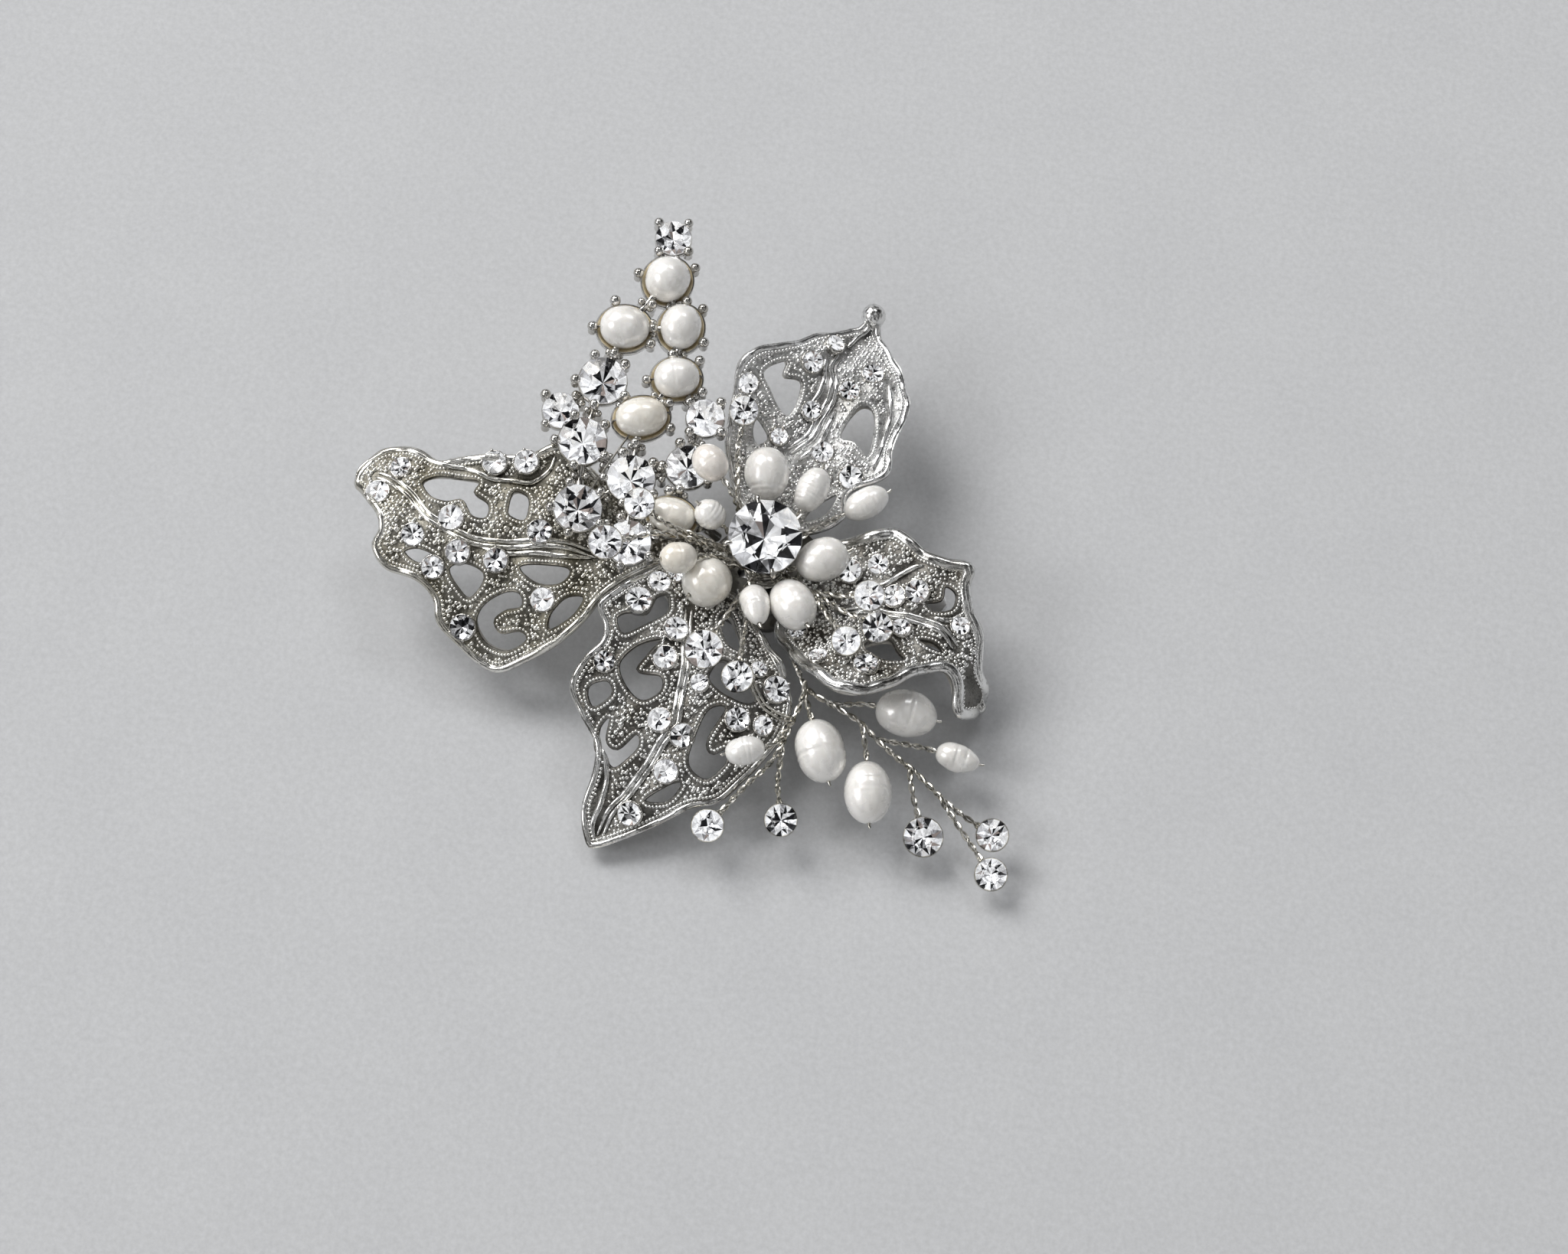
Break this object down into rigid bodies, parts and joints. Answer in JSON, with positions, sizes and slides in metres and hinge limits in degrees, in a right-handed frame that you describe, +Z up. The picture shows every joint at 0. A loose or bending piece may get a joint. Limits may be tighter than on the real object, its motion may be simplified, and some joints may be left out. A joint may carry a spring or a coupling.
{
  "type": "flower hair clip",
  "caption": "Sprung steel hair clip that carries a silver openwork flower of cast leaves, faceted crystals and oval pearls, with a drooping wired spray.",
  "frame": {"origin": "on the lower jaw's flat underside, straight below the middle of the flower", "axes": "+X along the clip from the jaw tips to the lever, +Z up from the table through the flower, +Y to the left of the lever end seen from above"},
  "size_m": [0.0929, 0.0803, 0.0256],
  "materials": {
    "antique_silver": "bright silver plate over a cast white metal, darkened in the recesses",
    "wire_silver": "silver plated two-strand twisted wire, satin",
    "clip_steel": "nickel plated steel strip, satin",
    "spring_steel": "plain spring wire",
    "crystal": "clear cut glass, foiled back",
    "pearl_white": "white freshwater pearl lustre",
    "pearl_cream": "cream freshwater pearl lustre",
    "pearl_peach": "peach freshwater pearl lustre"
  },
  "bodies": {
    "flower": {"back_plate": "clip_steel", "centre_crystal": "crystal", "centre_cup": "antique_silver", "centre_pearl_1": "pearl_white", "centre_pearl_10": "pearl_white", "centre_pearl_2": "pearl_peach", "centre_pearl_3": "pearl_cream", "centre_pearl_4": "pearl_cream", "centre_pearl_5": "pearl_white", "centre_pearl_6": "pearl_white", "centre_pearl_7": "pearl_white", "centre_pearl_8": "pearl_white", "centre_pearl_9": "pearl_white", "centre_wires": "wire_silver", "clip_hinge_pin": "clip_steel", "clip_spring": "spring_steel", "clip_upper_jaw": "clip_steel", "cluster_crystal_1": "crystal", "cluster_crystal_2": "crystal", "cluster_crystal_3": "crystal", "cluster_crystal_4": "crystal", "cluster_crystal_5": "crystal", "cluster_crystal_6": "crystal", "cluster_crystal_7": "crystal", "cluster_crystal_8": "crystal", "cluster_crystal_9": "crystal", "cluster_frame": "antique_silver", "cluster_pearl_1": "pearl_white", "cluster_pearl_2": "pearl_white", "cluster_pearl_3": "pearl_white", "cluster_pearl_4": "pearl_white", "cluster_pearl_5": "pearl_cream", "cluster_pearl_6": "pearl_cream", "leaf_left": "antique_silver", "leaf_lower": "antique_silver", "leaf_right": "antique_silver", "leaf_upper": "antique_silver", "spray_crystal_1": "crystal", "spray_crystal_2": "crystal", "spray_crystal_3": "crystal", "spray_crystal_4": "crystal", "spray_crystal_5": "crystal", "spray_pearl_1": "pearl_white", "spray_pearl_2": "pearl_white", "spray_pearl_3": "pearl_white", "spray_pearl_4": "pearl_white", "spray_pearl_5": "pearl_white", "spray_wire": "wire_silver", "wired_crystal_1": "crystal", "wired_crystal_2": "crystal", "wired_crystal_3": "crystal", "wired_crystal_4": "crystal", "wired_crystal_5": "crystal", "wired_crystal_6": "crystal", "wired_crystal_7": "crystal", "wired_crystal_8": "crystal"},
    "lower_jaw": {"clip_lower_jaw": "clip_steel"}
  },
  "joints": [
    {"name": "jaw_hinge", "type": "hinge", "parent": "flower", "child": "lower_jaw", "pos_m": [0.012, 0, 0.003], "axis": [0, -1, 0], "range_deg": [0, 22], "stiffness_Nm_per_rad": 0.03, "springref_deg": -68.75, "deforming": ["clip_spring"]}
  ]
}
